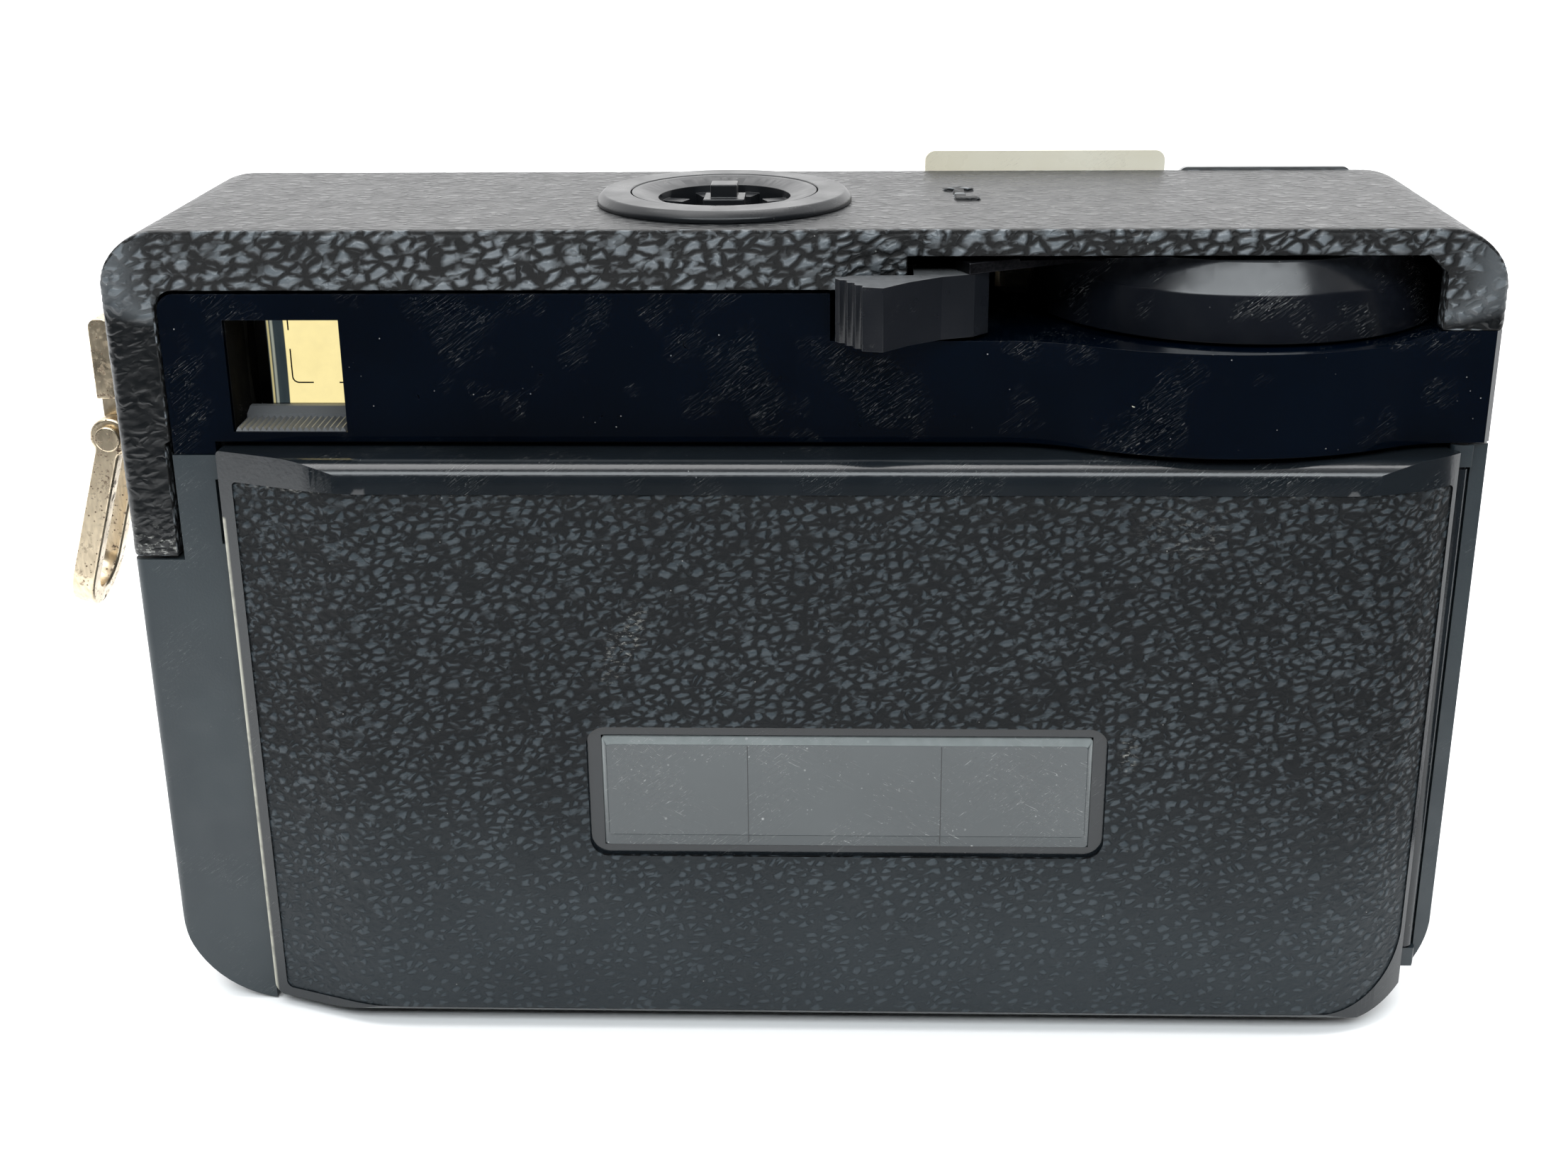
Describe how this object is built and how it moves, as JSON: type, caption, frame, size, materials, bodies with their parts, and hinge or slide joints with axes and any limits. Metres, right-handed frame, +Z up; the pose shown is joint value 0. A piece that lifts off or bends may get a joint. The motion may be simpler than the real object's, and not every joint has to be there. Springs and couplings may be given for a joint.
{
  "type": "cartridge snapshot camera",
  "caption": "Slim black snapshot camera for drop-in film cartridges, with hinged rear door and window, thumb advance lever, flash cube socket, bar release and side strap loop.",
  "frame": {"origin": "centre of the body's bottom face, midway across and midway between the flat rear and front faces", "axes": "+X to the user's right hand, +Y forward out of the lens, +Z up"},
  "size_m": [0.1201, 0.0519, 0.0711],
  "materials": {
    "black_moulding": "semi-matte injection moulding",
    "grained_black": "moulded leather grain",
    "gloss_black": "high gloss",
    "satin_black": "satin",
    "matte_black": "matte",
    "lens_black": "satin black",
    "brushed_fascia": "brushed",
    "leatherette": "pebbled leatherette",
    "steel_sheet": "plain",
    "bright_steel": "bright",
    "blackened_steel": "blackened",
    "spring_steel": "spring temper",
    "amber_glass": "polished",
    "clear_glass": "polished",
    "clear_plastic": "clear, lightly scratched",
    "black_felt": "felt",
    "nickel": "worn nickel plate",
    "gear_brass": "plain",
    "nylon": "natural nylon",
    "cream_metal": "satin"
  },
  "bodies": {
    "camera": {"main_body": "black_moulding", "top_cover": "grained_black", "rear_panel": "gloss_black", "front_plate": "brushed_fascia", "front_covering": "leatherette", "mechanism_plate": "steel_sheet", "mechanism_screws": "bright_steel", "viewfinder_tube": "matte_black", "eyepiece_lens": "amber_glass", "objective_lens": "clear_glass", "viewfinder_mask": "matte_black", "viewfinder_window": "clear_plastic", "lens_housing": "black_moulding", "lens_barrel": "lens_black", "lens_front_element": "clear_glass", "lens_rear_element": "clear_glass", "lens_retaining_ring": "lens_black", "shutter_plate": "steel_sheet", "shutter_pivot": "bright_steel", "shutter_spring": "spring_steel", "latch_spring": "spring_steel", "advance_return_spring": "spring_steel", "socket_ring": "satin_black", "release_pivot_pin": "bright_steel", "release_spring": "spring_steel", "case_screws": "bright_steel"},
    "door": {"rear_door": "black_moulding", "door_covering": "leatherette", "door_window": "clear_plastic", "window_seal": "black_felt", "cartridge_spring": "spring_steel", "door_hinge_pins": "bright_steel"},
    "latch": {"door_latch": "nickel", "loop_pin": "nickel"},
    "loop": {"strap_loop": "nickel"},
    "advance": {"advance_disc": "gloss_black", "advance_arm": "blackened_steel", "advance_thumb_tip": "satin_black", "advance_spindle": "bright_steel", "drive_gear": "gear_brass"},
    "take_up": {"take_up_drive": "nylon"},
    "pawl": {"ratchet_pawl": "steel_sheet"},
    "rack": {"index_rack": "nylon"},
    "turret": {"socket_turret": "satin_black", "socket_post": "satin_black", "socket_gear": "gear_brass"},
    "striker": {"flash_striker": "steel_sheet"},
    "release": {"release_bar": "cream_metal", "trip_rod": "steel_sheet"},
    "trip_lever": {"release_lever": "steel_sheet"},
    "shutter": {"shutter_blade": "blackened_steel"},
    "exposure": {"exposure_ring": "lens_black"},
    "aperture": {"aperture_blade": "blackened_steel"},
    "feeler": {"perforation_feeler": "steel_sheet"}
  },
  "joints": [
    {"name": "door_swing", "type": "hinge", "parent": "camera", "child": "door", "pos_m": [0.0531, -0.0134, 0.025], "axis": [0, 0, 1], "range_deg": [0, 95]},
    {"name": "latch_slide", "type": "slide", "parent": "camera", "child": "latch", "axis": [0, 0, -1], "range_m": [0, 0.0025], "stiffness_N_per_m": 500, "springref_m": -0.001, "deforming": ["latch_spring"]},
    {"name": "loop_swing", "type": "hinge", "parent": "latch", "child": "loop", "pos_m": [-0.059, -0.002, 0.0503], "axis": [0, 1, 0], "range_deg": [-17, 60]},
    {"name": "advance_turn", "type": "hinge", "parent": "camera", "child": "advance", "pos_m": [0.0364, 0.001, 0.06], "axis": [0, 0, 1], "range_deg": [0, 65], "stiffness_Nm_per_rad": 0.02, "springref_deg": -17.19},
    {"name": "take_up_turn", "type": "hinge", "parent": "camera", "child": "take_up", "pos_m": [0.0364, 0.001, 0.044], "axis": [0, 0, 1], "range_deg": [0, 65]},
    {"name": "pawl_rock", "type": "hinge", "parent": "camera", "child": "pawl", "pos_m": [0.046, 0.006, 0.045], "axis": [0, 0, 1], "range_deg": [-8, 0], "stiffness_Nm_per_rad": 0.001, "springref_deg": 5.73},
    {"name": "rack_slide", "type": "slide", "parent": "camera", "child": "rack", "axis": [1, 0, 0], "range_m": [-0.00766, 0]},
    {"name": "turret_turn", "type": "hinge", "parent": "camera", "child": "turret", "pos_m": [-0.0063, -0.001, 0.066], "axis": [0, 0, 1], "range_deg": [0, 90.1]},
    {"name": "striker_lift", "type": "slide", "parent": "camera", "child": "striker", "axis": [0, 0, 1], "range_m": [0, 0.0024]},
    {"name": "release_press", "type": "slide", "parent": "camera", "child": "release", "axis": [0, 0, -1], "range_m": [0, 0.002], "stiffness_N_per_m": 400, "springref_m": -0.001, "deforming": ["release_spring"]},
    {"name": "trip_lever_rock", "type": "hinge", "parent": "camera", "child": "trip_lever", "pos_m": [0.008, 0.009, 0.0578], "axis": [0, 1, 0], "range_deg": [0, 9.6]},
    {"name": "shutter_swing", "type": "hinge", "parent": "camera", "child": "shutter", "pos_m": [0.0145, 0.0161, 0.032], "axis": [0, 1, 0], "range_deg": [0, 40.2]},
    {"name": "exposure_turn", "type": "hinge", "parent": "camera", "child": "exposure", "pos_m": [0.0038, 0.0258, 0.0232], "axis": [0, 1, 0], "range_deg": [0, 30]},
    {"name": "aperture_swing", "type": "hinge", "parent": "camera", "child": "aperture", "pos_m": [-0.006, 0.0188, 0.031], "axis": [0, 1, 0], "range_deg": [0, 45.1]},
    {"name": "feeler_rock", "type": "hinge", "parent": "camera", "child": "feeler", "pos_m": [0.0212, -0.0044, 0.0396], "axis": [0, 0, 1], "range_deg": [-9, 9], "stiffness_Nm_per_rad": 0.0005}
  ],
  "couplings": [
    {"joint": "take_up_turn", "follows": "advance_turn", "ratio": 1},
    {"joint": "rack_slide", "follows": "advance_turn", "m_per_rad": -0.00675},
    {"joint": "turret_turn", "follows": "advance_turn", "ratio": 1.3846},
    {"joint": "trip_lever_rock", "follows": "release_press", "rad_per_m": 83.3},
    {"joint": "striker_lift", "follows": "release_press", "ratio": 1.19},
    {"joint": "shutter_swing", "follows": "release_press", "rad_per_m": 350},
    {"joint": "aperture_swing", "follows": "exposure_turn", "ratio": 1.5}
  ]
}
